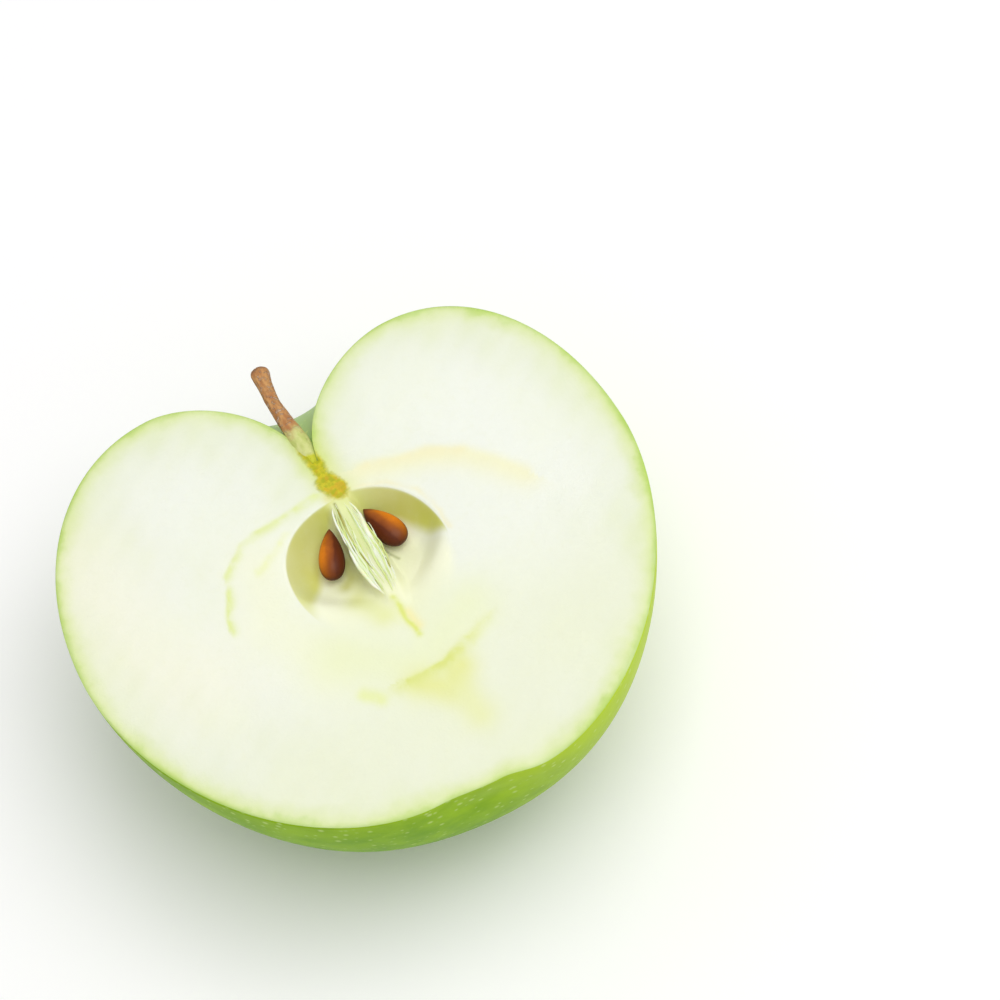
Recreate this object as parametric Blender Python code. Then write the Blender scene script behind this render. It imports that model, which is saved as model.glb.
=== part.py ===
"""Half of a green apple, cut from stem to base, lying on its skin with the cut face up.

It is modelled at its real size, in metres, +Z up. X runs across the cut face, Y along the apple's
axis with the stem towards +Y, and the cut is level. Four pieces: the half itself (flesh and skin in
one solid, with both seed chambers hollowed out), its stem, and the two seeds in the chambers.
The outline is worked out from a few named sizes for each side of the apple. Heights along the axis
are measured from the knot where the stem meets the core.
"""

import math
from dataclasses import astuple, dataclass

import bmesh
import bpy
from mathutils import Vector

MM = 0.001


@dataclass
class Profile:
    """One side of the apple: three turning points of its outline, and how full the arcs between them are."""

    shoulder_radius: float
    shoulder_height: float
    widest_radius: float
    widest_height: float
    base_radius: float
    base_height: float
    shoulder_fullness: float
    flank_fullness: float


@dataclass
class Chamber:
    """One seed chamber, a hollow shaped like half a leaf beside the axis."""

    side: int
    width: float
    middle: float
    rise: float
    rise_fullness: float
    fall: float
    fall_fullness: float
    floor: tuple
    depth: float


# The outline of the cut face on its right and left, and of the apple's back
RIGHT = Profile(18.2 * MM, 19.6 * MM, 40.2 * MM, -11.6 * MM, 6.4 * MM, -51.5 * MM, 2.13, 1.79)
LEFT = Profile(17.9 * MM, 23.1 * MM, 42.6 * MM, -9.4 * MM, 8.5 * MM, -49.7 * MM, 2.06, 1.83)
BACK = Profile(16.4 * MM, 20.0 * MM, 42.4 * MM, -11.0 * MM, 6.7 * MM, -49.9 * MM, 2.05, 2.06)

# The stem cavity and the shallow base, where they meet the axis
CAVITY_RADIUS = 1.8 * MM
CAVITY_HEIGHT = 3.3 * MM
BASE_DIP_HEIGHT = -50.5 * MM

# Low swellings round the back, strongest at the base
SWELLINGS = 5
SWELLING_SHARE = 0.012

# A flat spot under the back keeps the half from rocking
FLAT_SPOT_DEPTH = 0.8 * MM

# The core: two chambers with a fibrous wall between them, which leans and thins towards the base
LEFT_FLOOR = (6.0 * MM, -11.0 * MM)
RIGHT_FLOOR = (5.8 * MM, -10.8 * MM)
LEFT_CHAMBER = Chamber(-1, 11.6 * MM, -12.8 * MM, 10.8 * MM, 2.4, 15.4 * MM, 1.65, LEFT_FLOOR, 4.5 * MM)
RIGHT_CHAMBER = Chamber(1, 11.1 * MM, -14.2 * MM, 12.4 * MM, 2.15, 14.0 * MM, 1.8, RIGHT_FLOOR, 4.5 * MM)
CHAMBER_STEPS, WALL_STEPS = 28, 8
CHAMBER_RINGS = (0.985, 0.95, 0.88, 0.78, 0.65, 0.48, 0.28)
CHAMBER_BOWL = 4.5
WALL_STEEP, WALL_GENTLE = 0.5, 1.2
CUTTER_RISE = 2.0 * MM
WALL_HALF_WIDTH, WALL_THIN = 1.0 * MM, 0.4 * MM
WALL_THINS_FROM, WALL_THINS_TO = -18.0 * MM, -27.0 * MM
WALL_LEAN = 0.9 * MM

# How finely the surfaces are divided
CAVITY_STEPS, SHOULDER_STEPS, FLANK_STEPS, BASE_STEPS = 12, 14, 20, 8
ROUND_STEPS = 48
SHARP_ANGLE = math.radians(35)

# The seeds, each with the place of its middle, the turn of its pointed end, and its width
SEED_LENGTH, SEED_THICKNESS = 7.9 * MM, 3.0 * MM
SEED_POINT, SEED_BLUNT = 0.85, 0.45
SEED_SIDES, SEED_RINGS = 16, 14
SEEDS = {
    "seed_left": (Vector((-4.3 * MM, -8.2 * MM, -2.3 * MM)), math.radians(-22), 3.7 * MM),
    "seed_right": (Vector((4.0 * MM, -8.0 * MM, -2.3 * MM)), math.radians(20), 4.1 * MM),
}

# The stem: stations along the axis, each with its offset to the side and its radius
STEM_STATIONS = [
    (3.9 * MM, -0.2 * MM, 0.80 * MM),
    (6.2 * MM, -0.2 * MM, 1.10 * MM),
    (8.6 * MM, -0.4 * MM, 1.40 * MM),
    (10.8 * MM, -0.6 * MM, 1.30 * MM),
    (13.6 * MM, -0.8 * MM, 1.08 * MM),
    (16.6 * MM, -0.9 * MM, 0.97 * MM),
    (19.2 * MM, -0.8 * MM, 1.10 * MM),
    (21.3 * MM, -0.5 * MM, 1.28 * MM),
]
STEM_SINK = 0.5 * MM
STEM_SIDES, STEM_RINGS, KNOB_RINGS = 12, 26, 4
KNOB_ROUND = 1.0 * MM


def arc(share, fullness):
    """A quarter of a superellipse, from (0, 1) to (1, 0) as share goes from 0 to 1."""
    angle = share * math.pi / 2
    power = 2 / fullness
    return math.sin(angle) ** power, max(math.cos(angle), 0.0) ** power


def blended(turn):
    """The profile at a turn round the axis: 0 is the right edge of the cut, half pi the back, pi the left."""
    values = []
    for right, left, back in zip(astuple(RIGHT), astuple(LEFT), astuple(BACK)):
        middle = (right + left + 2 * back) / 4
        lean = (right - left) / 2
        spread = (right + left - 2 * back) / 4
        values.append(middle + lean * math.cos(turn) + spread * math.cos(2 * turn))
    return Profile(*values)


def outline(turn):
    """Points (radius, height) from the bottom of the stem cavity to the middle of the base."""
    p = blended(turn)
    points = [(0.0, CAVITY_HEIGHT)]
    for step in range(CAVITY_STEPS):
        up, across = arc(step / CAVITY_STEPS, 2)
        points.append(
            (
                p.shoulder_radius - (p.shoulder_radius - CAVITY_RADIUS) * across,
                CAVITY_HEIGHT + (p.shoulder_height - CAVITY_HEIGHT) * up,
            )
        )
    for step in range(SHOULDER_STEPS):
        out, up = arc(step / SHOULDER_STEPS, p.shoulder_fullness)
        points.append(
            (
                p.shoulder_radius + (p.widest_radius - p.shoulder_radius) * out,
                p.widest_height + (p.shoulder_height - p.widest_height) * up,
            )
        )
    for step in range(FLANK_STEPS):
        down, out = arc(step / FLANK_STEPS, p.flank_fullness)
        points.append(
            (
                p.base_radius + (p.widest_radius - p.base_radius) * out,
                p.widest_height + (p.base_height - p.widest_height) * down,
            )
        )
    for step in range(BASE_STEPS):
        share = step / BASE_STEPS
        rise = (1 - math.cos(share * math.pi)) / 2
        points.append((p.base_radius * (1 - share), p.base_height + (BASE_DIP_HEIGHT - p.base_height) * rise))
    points.append((0.0, BASE_DIP_HEIGHT))
    return points


def swelling(turn, share):
    """How much further out the skin stands, for a turn round the axis and a share of the way to the base."""
    return 1 + SWELLING_SHARE * share**2 * math.sin(turn) ** 2 * math.cos(SWELLINGS * turn)


def smooth(value):
    """0 below 0, 1 above 1, and a smooth step between."""
    value = min(max(value, 0.0), 1.0)
    return value * value * (3 - 2 * value)


def wall_middle(y):
    """The wall between the chambers leans a little to the right towards the base."""
    return WALL_LEAN * smooth(y / WALL_THINS_TO)


def wall_half_width(y):
    """Half the thickness of the wall between the chambers."""
    share = smooth((y - WALL_THINS_FROM) / (WALL_THINS_TO - WALL_THINS_FROM))
    return WALL_HALF_WIDTH + (WALL_THIN - WALL_HALF_WIDTH) * share


def chamber_outline(chamber):
    """The chamber's edge on the cut: round its outer side from the stem's end, and back along the wall."""
    points = []
    for step in range(CHAMBER_STEPS + 1):
        angle = math.pi * step / CHAMBER_STEPS
        upper = step <= CHAMBER_STEPS / 2
        reach, fullness = (
            (chamber.rise, chamber.rise_fullness) if upper else (chamber.fall, chamber.fall_fullness)
        )
        along = math.copysign(reach * abs(math.cos(angle)) ** (2 / fullness), math.cos(angle))
        across = chamber.width * max(math.sin(angle), 0.0) ** (2 / fullness)
        points.append((across, chamber.middle + along))
    top, bottom = points[0][1], points[-1][1]
    for step in range(1, WALL_STEPS):
        points.append((0.0, bottom + (top - bottom) * step / WALL_STEPS))
    return [
        Vector((wall_middle(y) + chamber.side * max(across, wall_half_width(y)), y)) for across, y in points
    ]


def make_chamber_cutter(name, chamber):
    """A bowl with the chamber's outline, steep outside and along the wall, gentle towards the base."""
    builder = bmesh.new()
    outline_points = chamber_outline(chamber)
    floor = Vector((chamber.side * chamber.floor[0], chamber.floor[1]))
    rings = [[builder.verts.new((*point, CUTTER_RISE)) for point in outline_points]]
    rings.append([builder.verts.new((*point, 0)) for point in outline_points])
    for share in CHAMBER_RINGS:
        ring = []
        for point in outline_points:
            gentle = smooth((chamber.middle - point.y) / chamber.fall)
            steepness = WALL_STEEP + (WALL_GENTLE - WALL_STEEP) * gentle
            depth = chamber.depth * (1 - share**CHAMBER_BOWL) ** steepness
            ring.append(builder.verts.new((*floor.lerp(point, share), -depth)))
        rings.append(ring)
    add_tube_faces(builder, rings)
    add_fan(builder, rings[-1], builder.verts.new((*floor, -chamber.depth)))
    builder.faces.new(rings[0])
    cutter = add_object(name, builder, (0.5, 0.5, 0.5), 0.5)
    cutter.hide_render = True
    cutter.display_type = "WIRE"
    return cutter


def add_object(name, mesh_builder, colour, roughness):
    """A named object from a bmesh, with its own material."""
    mesh = bpy.data.meshes.new(name)
    bmesh.ops.recalc_face_normals(mesh_builder, faces=mesh_builder.faces)
    mesh_builder.to_mesh(mesh)
    mesh_builder.free()
    mesh.shade_smooth()
    mesh.set_sharp_from_angle(angle=SHARP_ANGLE)
    material = bpy.data.materials.new(name)
    material.use_nodes = True
    shader = material.node_tree.nodes["Principled BSDF"]
    shader.inputs["Base Color"].default_value = (*colour, 1.0)
    shader.inputs["Roughness"].default_value = roughness
    shader.inputs["Metallic"].default_value = 0.0
    mesh.materials.append(material)
    obj = bpy.data.objects.new(name, mesh)
    bpy.context.scene.collection.objects.link(obj)
    return obj


def add_skin(builder):
    """The round outside. Returns its edge on the cut, from the cavity down the right and up the left."""
    rows = []
    for step in range(ROUND_STEPS + 1):
        turn = math.pi * step / ROUND_STEPS
        points = outline(turn)
        if not rows:
            top = builder.verts.new((0, points[0][1], 0))
            bottom = builder.verts.new((0, points[-1][1], 0))
        row = [top]
        for index, (radius, height) in enumerate(points[1:-1], start=1):
            out = radius * swelling(turn, index / len(points))
            on_cut = step in (0, ROUND_STEPS)
            row.append(
                builder.verts.new((out * math.cos(turn), height, 0 if on_cut else -out * math.sin(turn)))
            )
        rows.append([*row, bottom])
    for row, following in zip(rows, rows[1:]):
        for index in range(len(row) - 1):
            corners = [row[index], row[index + 1], following[index + 1], following[index]]
            builder.faces.new(list(dict.fromkeys(corners)))
    return rows[0] + rows[-1][-2:0:-1]


def flatten_back(builder):
    """Cuts the flat spot that the half rests on."""
    lowest = min(vertex.co.z for vertex in builder.verts)
    everything = builder.verts[:] + builder.edges[:] + builder.faces[:]
    cut = bmesh.ops.bisect_plane(
        builder,
        geom=everything,
        plane_co=(0, 0, lowest + FLAT_SPOT_DEPTH),
        plane_no=(0, 0, -1),
        clear_outer=True,
    )
    rim = [item for item in cut["geom_cut"] if isinstance(item, bmesh.types.BMEdge)]
    bmesh.ops.contextual_create(builder, geom=rim)


def make_half(cutters):
    """Flesh and skin in one solid, with the chambers cut out of it."""
    builder = bmesh.new()
    builder.faces.new(add_skin(builder))
    flatten_back(builder)
    half = add_object("apple_half", builder, (0.86, 0.88, 0.66), 0.45)
    for cutter in cutters:
        cut = half.modifiers.new(cutter.name, "BOOLEAN")
        cut.operation = "DIFFERENCE"
        cut.solver = "EXACT"
        cut.object = cutter
    return half


def seed_radius(share):
    """The seed's radius as a share of its half width: pointed at 0, blunt at 1, widest between."""
    widest = SEED_POINT / (SEED_POINT + SEED_BLUNT)
    peak = widest**SEED_POINT * (1 - widest) ** SEED_BLUNT
    return share**SEED_POINT * (1 - share) ** SEED_BLUNT / peak


def make_seed(name, place, turn, width):
    """A flattened drop, pointed towards the stem."""
    builder = bmesh.new()
    point = builder.verts.new((0, SEED_LENGTH / 2, 0))
    end = builder.verts.new((0, -SEED_LENGTH / 2, 0))
    rings = []
    for ring in range(1, SEED_RINGS):
        share = (1 - math.cos(math.pi * ring / SEED_RINGS)) / 2
        radius = seed_radius(share)
        corners = []
        for side in range(SEED_SIDES):
            angle = 2 * math.pi * side / SEED_SIDES
            corners.append(
                builder.verts.new(
                    (
                        radius * width / 2 * math.cos(angle),
                        SEED_LENGTH * (0.5 - share),
                        radius * SEED_THICKNESS / 2 * math.sin(angle),
                    )
                )
            )
        rings.append(corners)
    add_tube_faces(builder, rings)
    add_fan(builder, rings[0], point)
    add_fan(builder, rings[-1], end)
    seed = add_object(name, builder, (0.23, 0.075, 0.02), 0.28)
    seed.location = place
    seed.rotation_euler = (0, 0, turn)
    return seed


def add_tube_faces(builder, rings):
    """Joins each ring of corners to the next."""
    for ring, following in zip(rings, rings[1:]):
        for index in range(len(ring)):
            after = (index + 1) % len(ring)
            builder.faces.new([ring[index], ring[after], following[after], following[index]])


def add_fan(builder, ring, tip):
    """Closes a ring of corners at a tip."""
    for index in range(len(ring)):
        builder.faces.new([ring[index], ring[(index + 1) % len(ring)], tip])


def stem_at(share):
    """(height, offset, radius) at a share of the stem's length, on a smooth curve through its stations."""
    last = len(STEM_STATIONS) - 1
    place = min(share * last, last - 1e-9)
    index = int(place)
    part = place - index
    before = STEM_STATIONS[max(index - 1, 0)]
    start, end = STEM_STATIONS[index], STEM_STATIONS[index + 1]
    after = STEM_STATIONS[min(index + 2, last)]
    values = []
    for a, b, c, d in zip(before, start, end, after):
        slope = c - a
        bend = 2 * a - 5 * b + 4 * c - d
        twist = 3 * b - a - 3 * c + d
        values.append(b + (slope * part + bend * part**2 + twist * part**3) / 2)
    return values


def make_stem():
    """A woody stem, thick where it leaves the cavity, with a rounded knob on its end."""
    builder = bmesh.new()
    stations = [stem_at(step / STEM_RINGS) for step in range(STEM_RINGS + 1)]
    height, offset, radius = stations[-1]
    for ring in range(1, KNOB_RINGS):
        up, narrow = arc(ring / KNOB_RINGS, 2)
        stations.append((height + KNOB_ROUND * up, offset, radius * narrow))
    rings = []
    for station, side, thickness in stations:
        corners = []
        for corner in range(STEM_SIDES):
            angle = 2 * math.pi * corner / STEM_SIDES
            corners.append(
                builder.verts.new(
                    (side + thickness * math.cos(angle), station, thickness * math.sin(angle) - STEM_SINK)
                )
            )
        rings.append(corners)
    add_tube_faces(builder, rings)
    add_fan(builder, rings[0], builder.verts.new((stations[0][1], stations[0][0], -STEM_SINK)))
    add_fan(builder, rings[-1], builder.verts.new((offset, height + KNOB_ROUND, -STEM_SINK)))
    return add_object("stem", builder, (0.3, 0.17, 0.08), 0.7)


def stand_on_floor(pieces, cutters):
    """Hangs everything on one empty, and moves it so that the pieces' box stands centred on the origin."""
    apple = bpy.data.objects.new("apple", None)
    bpy.context.scene.collection.objects.link(apple)
    for piece in pieces + cutters:
        piece.parent = apple
    bpy.context.view_layer.update()
    corners = [piece.matrix_world @ vertex.co for piece in pieces for vertex in piece.data.vertices]
    low = [min(corner[axis] for corner in corners) for axis in range(3)]
    high = [max(corner[axis] for corner in corners) for axis in range(3)]
    apple.location = (-(low[0] + high[0]) / 2, -(low[1] + high[1]) / 2, -low[2])


def main():
    for obj in list(bpy.data.objects):
        bpy.data.objects.remove(obj)
    cutters = [
        make_chamber_cutter("left_chamber", LEFT_CHAMBER),
        make_chamber_cutter("right_chamber", RIGHT_CHAMBER),
    ]
    pieces = [make_half(cutters), make_stem()]
    for name, (place, turn, width) in SEEDS.items():
        pieces.append(make_seed(name, place, turn, width))
    stand_on_floor(pieces, cutters)


main()
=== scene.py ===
# %% [markdown]
# # Half of a green apple
# The object is one half of a green apple, cut from stem to base. It lies on its skin with the
# cut face up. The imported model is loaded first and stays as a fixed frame: it holds the true size,
# and the finer pieces that are made here take the places of its nodes.

# %% Load the frame
import math

import bmesh
import bpy
import numpy as np
from mathutils import Matrix, Vector
from mathutils.kdtree import KDTree


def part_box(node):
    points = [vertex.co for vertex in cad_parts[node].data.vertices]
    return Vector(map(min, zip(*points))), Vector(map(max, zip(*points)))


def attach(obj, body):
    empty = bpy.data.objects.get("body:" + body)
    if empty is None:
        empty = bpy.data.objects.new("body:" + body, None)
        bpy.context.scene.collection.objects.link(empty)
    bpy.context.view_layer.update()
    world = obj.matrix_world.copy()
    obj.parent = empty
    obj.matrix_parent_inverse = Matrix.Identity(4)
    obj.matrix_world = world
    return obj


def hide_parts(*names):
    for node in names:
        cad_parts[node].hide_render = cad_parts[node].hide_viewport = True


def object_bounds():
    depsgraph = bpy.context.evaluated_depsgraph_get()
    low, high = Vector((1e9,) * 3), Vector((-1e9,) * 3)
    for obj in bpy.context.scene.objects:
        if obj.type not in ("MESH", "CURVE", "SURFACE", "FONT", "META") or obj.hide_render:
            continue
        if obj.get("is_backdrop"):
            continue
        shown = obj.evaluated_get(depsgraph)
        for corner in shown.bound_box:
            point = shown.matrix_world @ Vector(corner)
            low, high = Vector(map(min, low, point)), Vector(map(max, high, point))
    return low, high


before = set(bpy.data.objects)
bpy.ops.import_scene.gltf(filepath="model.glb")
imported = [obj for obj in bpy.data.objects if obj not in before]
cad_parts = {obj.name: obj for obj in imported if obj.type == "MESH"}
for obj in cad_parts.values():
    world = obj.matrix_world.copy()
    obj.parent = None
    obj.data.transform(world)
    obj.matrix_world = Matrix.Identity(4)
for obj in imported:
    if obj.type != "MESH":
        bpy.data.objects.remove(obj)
cad_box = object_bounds()
print("nodes", sorted(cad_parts))

# %% [markdown]
# ## Measuring from the knot
# Where the stem meets the core there is a small golden knot. All places on the apple are given in
# millimetres from it: x to the right lobe, y along the stem, z out of the cut face. A fixed point on
# the object is easier to think from than a corner of its box. The knot's own place comes from the
# node's box, whose top is the cut and whose left and stem ends are the left lobe's.

# %% Place of the knot
MM = 0.001
LEFT_REACH = 42.6
LEFT_CREST = 23.1
half_low, half_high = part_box("apple_half")
KNOT = np.array([half_low[0] + LEFT_REACH * MM, half_high[1] - LEFT_CREST * MM, half_high[2]])


def from_knot(points):
    """Points in millimetres from the knot, as places in the scene in metres."""
    return KNOT + np.asarray(points, float) * MM


print("knot at", np.round(KNOT / MM, 2), "mm")

# %% [markdown]
# ## Camera and light
# The photograph looks down on the cut from the side of the apple's base, tilted 29 degrees off the
# face's upright. A lens on a camera is placed by a direction and a distance, so the camera's axes are
# worked out from the tilt, the side it comes from, and the roll of the picture. It then turns a
# little aside so that the half sits left of the middle, as it does in the picture.

# %% Camera
CAMERA_DISTANCE = 450.0
CAMERA_TILT = math.radians(28.72)
CAMERA_SIDE = math.radians(-99.12)
CAMERA_ROLL = math.radians(-30.08)
LENS = 116.6
SENSOR = 36.0
PICTURE = 1000
KNOT_PIXEL = (329.8, 487.1)
NEAREST_SEEN = 10.0


def add_object(name, data):
    """A new object in the scene, made from a camera, a lamp, a mesh or a curve."""
    piece = bpy.data.objects.new(name, data)
    bpy.context.scene.collection.objects.link(piece)
    return piece


def camera_axes():
    """Right, up and backwards of a camera that looks straight at the knot."""
    flat = math.sin(CAMERA_TILT)
    back = Vector((flat * math.cos(CAMERA_SIDE), flat * math.sin(CAMERA_SIDE), math.cos(CAMERA_TILT)))
    level = Vector((0, 1, 0)).cross(back).normalized()
    above = back.cross(level)
    right = math.cos(CAMERA_ROLL) * level + math.sin(CAMERA_ROLL) * above
    return right, back.cross(right), back


def aside():
    """The turn that puts the knot on its pixel and not in the middle of the picture."""
    focal = LENS / SENSOR * PICTURE
    across = (KNOT_PIXEL[0] - PICTURE / 2) / focal
    upward = (PICTURE / 2 - KNOT_PIXEL[1]) / focal
    return Vector((across, upward, -1)).rotation_difference(Vector((0, 0, -1)))


right, up, back = camera_axes()
camera_data = bpy.data.cameras.new("camera")
camera_data.lens = LENS
camera_data.sensor_width = SENSOR
camera_data.clip_start = NEAREST_SEEN * MM
camera = add_object("camera", camera_data)
camera.rotation_mode = "QUATERNION"
camera.rotation_quaternion = Matrix((right, up, back)).transposed().to_quaternion() @ aside()
camera.location = from_knot(np.array(back) * CAMERA_DISTANCE)
bpy.context.scene.camera = camera
print("camera at", [round(value, 4) for value in camera.location])

# %% [markdown]
# A white room lights the picture evenly, and one large soft lamp stands behind the camera and a bit
# above it. It throws the shade into the seed chambers, under the seeds and on the floor. The floor
# is a wide white sheet, and it isn't part of the object. Colours are shown plainly, with no film
# curve, because the picture's whites are almost pure.

# %% Floor, room and lamp
FLOOR_SIZE = 6.0
FLOOR_WHITE = (0.99, 0.978, 0.99, 1)
LAMP_SIZE = 0.8
LAMP_DISTANCE = 1.1
LAMP_RIGHT, LAMP_UP, LAMP_BACK = 0.1, 0.45, 1.0
LAMP_POWER = 7.3
ROOM_STRENGTH = 0.58
bpy.context.scene.view_settings.view_transform = "Standard"


def make_floor():
    """A wide white sheet under the apple."""
    half = FLOOR_SIZE / 2
    mesh = bpy.data.meshes.new("floor")
    corners = [(-half, -half, 0), (half, -half, 0), (half, half, 0), (-half, half, 0)]
    mesh.from_pydata(corners, [], [(0, 1, 2, 3)])
    white = bpy.data.materials.new("floor_white")
    white.use_nodes = True
    shader = white.node_tree.nodes["Principled BSDF"]
    shader.inputs["Base Color"].default_value = FLOOR_WHITE
    shader.inputs["Roughness"].default_value = 0.9
    shader.inputs["Specular IOR Level"].default_value = 0.0
    mesh.materials.append(white)
    floor = add_object("floor", mesh)
    floor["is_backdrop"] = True


def make_lamp():
    """A square soft box behind the camera and above it, turned to the knot."""
    light = bpy.data.lights.new("soft_box", "AREA")
    light.size = LAMP_SIZE
    light.energy = LAMP_POWER
    lamp = add_object("soft_box", light)
    towards = (LAMP_RIGHT * right + LAMP_UP * up + LAMP_BACK * back).normalized()
    lamp.location = Vector(KNOT) + towards * LAMP_DISTANCE
    lamp.rotation_mode = "QUATERNION"
    lamp.rotation_quaternion = towards.to_track_quat("Z", "Y")


def light_room():
    """The white room all round."""
    world = bpy.data.worlds.new("white_room")
    world.use_nodes = True
    background = world.node_tree.nodes["Background"]
    background.inputs["Color"].default_value = (1, 1, 1, 1)
    background.inputs["Strength"].default_value = ROOM_STRENGTH
    bpy.context.scene.world = world


make_floor()
make_lamp()
light_room()

# %% [markdown]
# ## Writing materials as sums
# A material's pattern is mostly arithmetic on distances and noise. Wiring each Math node by hand
# hides the sum, so one small class wraps a socket and lets Python's own signs add the nodes. Every
# other node comes from one method, which takes the node's type, its settings and its inputs.


# %% A value and its operators
class Value:
    """A number that varies over a surface. Its operators add Math nodes."""

    def __init__(self, paint, socket):
        self.paint = paint
        self.socket = socket

    def __add__(self, other):
        return self.paint.math("ADD", self, other)

    __radd__ = __add__

    def __sub__(self, other):
        return self.paint.math("SUBTRACT", self, other)

    def __rsub__(self, other):
        return self.paint.math("SUBTRACT", other, self)

    def __mul__(self, other):
        return self.paint.math("MULTIPLY", self, other)

    __rmul__ = __mul__

    def __truediv__(self, other):
        return self.paint.math("DIVIDE", self, other)

    def __rtruediv__(self, other):
        return self.paint.math("DIVIDE", other, self)

    def __pow__(self, other):
        return self.paint.math("POWER", self, other)

    def clamped(self):
        """The value kept between 0 and 1."""
        return self.paint.add("ShaderNodeClamp", {}, {"Value": self})


# %% A material and its nodes
class Paint:
    """A material and the calls that add nodes to it."""

    def __init__(self, name, **constants):
        self.material = bpy.data.materials.new(name)
        self.material.use_nodes = True
        self.tree = self.material.node_tree
        self.shader = self.tree.nodes["Principled BSDF"]
        for socket, number in constants.items():
            self.shader.inputs[socket.replace("_", " ")].default_value = number

    def plug(self, socket, value):
        """Sets a socket to a number or colour, or links a Value into it."""
        if isinstance(value, Value):
            self.tree.links.new(value.socket, socket)
        else:
            socket.default_value = value

    def node(self, kind, settings, inputs):
        """Any node: its type, its settings, and what goes into its sockets."""
        node = self.tree.nodes.new(kind)
        for name, setting in settings.items():
            setattr(node, name, setting)
        for name, value in inputs.items():
            self.plug(node.inputs[name], value)
        return node

    def add(self, kind, settings, inputs, output=0):
        """Any node, as the value that one of its outputs gives."""
        return Value(self, self.node(kind, settings, inputs).outputs[output])

    def math(self, operation, first, second):
        """One Math node."""
        return self.add("ShaderNodeMath", {"operation": operation}, {0: first, 1: second})

    def mix(self, factor, first, second):
        """A colour between two colours."""
        return self.add("ShaderNodeMix", {"data_type": "RGBA"}, {0: factor, 6: first, 7: second}, 2)

    def place(self, stretch=(1, 1, 1)):
        """Places on the object, stretched where a pattern runs along it."""
        spot = self.add("ShaderNodeTexCoord", {}, {}, "Object")
        return self.add("ShaderNodeMapping", {}, {"Vector": spot, "Scale": stretch})

    def noise(self, size, detail=2.0, stretch=(1, 1, 1)):
        """Smooth noise from 0 to 1, with spots of a size in millimetres."""
        inputs = {"Vector": self.place(stretch), "Scale": 1 / (size * MM), "Detail": detail}
        return self.add("ShaderNodeTexNoise", {}, inputs)

    def between(self, value, low, high):
        """0 below low, 1 above high, and a smooth step between."""
        settings = {"interpolation_type": "SMOOTHSTEP"}
        inputs = {"Value": value, "From Min": low, "From Max": high}
        return self.add("ShaderNodeMapRange", settings, inputs)

    def attribute(self, name, output="Fac"):
        """A value or colour that is stored on the mesh."""
        return self.add("ShaderNodeAttribute", {"attribute_name": name}, {}, output)

    def bump(self, height, depth):
        """Leads a height into the shader's normal. The depth is in millimetres."""
        inputs = {"Height": height, "Distance": depth * MM, "Strength": 1.0}
        self.feed("Normal", self.add("ShaderNodeBump", {}, inputs))

    def feed(self, socket, value):
        """Links or sets one of the shader's own sockets."""
        self.plug(self.shader.inputs[socket], value)


def shade(red, green, blue):
    """A colour as it is read off a screen, 0 to 255, turned into the amounts of light it stands for."""
    screen = np.array([red, green, blue]) / 255
    light = np.where(screen <= 0.04045, screen / 12.92, ((screen + 0.055) / 1.055) ** 2.4)
    return (*[float(part) for part in light], 1.0)


# %% [markdown]
# ## The apple's outline
# An apple is nearly a round body turned about its stem, but its sides differ: here the left lobe
# stands higher than the right one. Each side is described by three turning points, the shoulder's
# crest, the widest place and the base, joined by quarters of superellipses, whose fullness says how
# square they are. Between the sides the sizes blend smoothly as the outline turns about the stem.

# %% Outline of the apple
SHOULDER_RADIUS, SHOULDER_HEIGHT, WIDEST_RADIUS, WIDEST_HEIGHT = range(4)
BASE_RADIUS, BASE_HEIGHT, SHOULDER_FULLNESS, FLANK_FULLNESS = range(4, 8)
RIGHT_SIDE = np.array([18.2, 19.6, 40.2, -11.6, 6.4, -51.5, 2.13, 1.79])
LEFT_SIDE = np.array([17.9, LEFT_CREST, LEFT_REACH, -9.4, 8.5, -49.7, 2.06, 1.83])
BACK_SIDE = np.array([16.4, 20.0, 42.4, -11.0, 6.7, -49.9, 2.05, 2.06])
CAVITY_RADIUS = 0.5
CAVITY_HEIGHT = 4.6
CAVITY_FULLNESS = 1.78
BASE_DIP_HEIGHT = -50.5
SWELLINGS = 5
SWELLING_SHARE = 0.012
CAVITY_ROWS, SHOULDER_ROWS, FLANK_ROWS, BASE_ROWS = 36, 40, 60, 24
TURNS = 84
FLAT_SPOT_DEPTH = 0.8


def quarter(count, fullness):
    """Points on a quarter of a superellipse, from (0, 1) towards (1, 0)."""
    angle = np.linspace(0, math.pi / 2, count, endpoint=False)
    return np.sin(angle) ** (2 / fullness), np.cos(angle) ** (2 / fullness)


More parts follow.
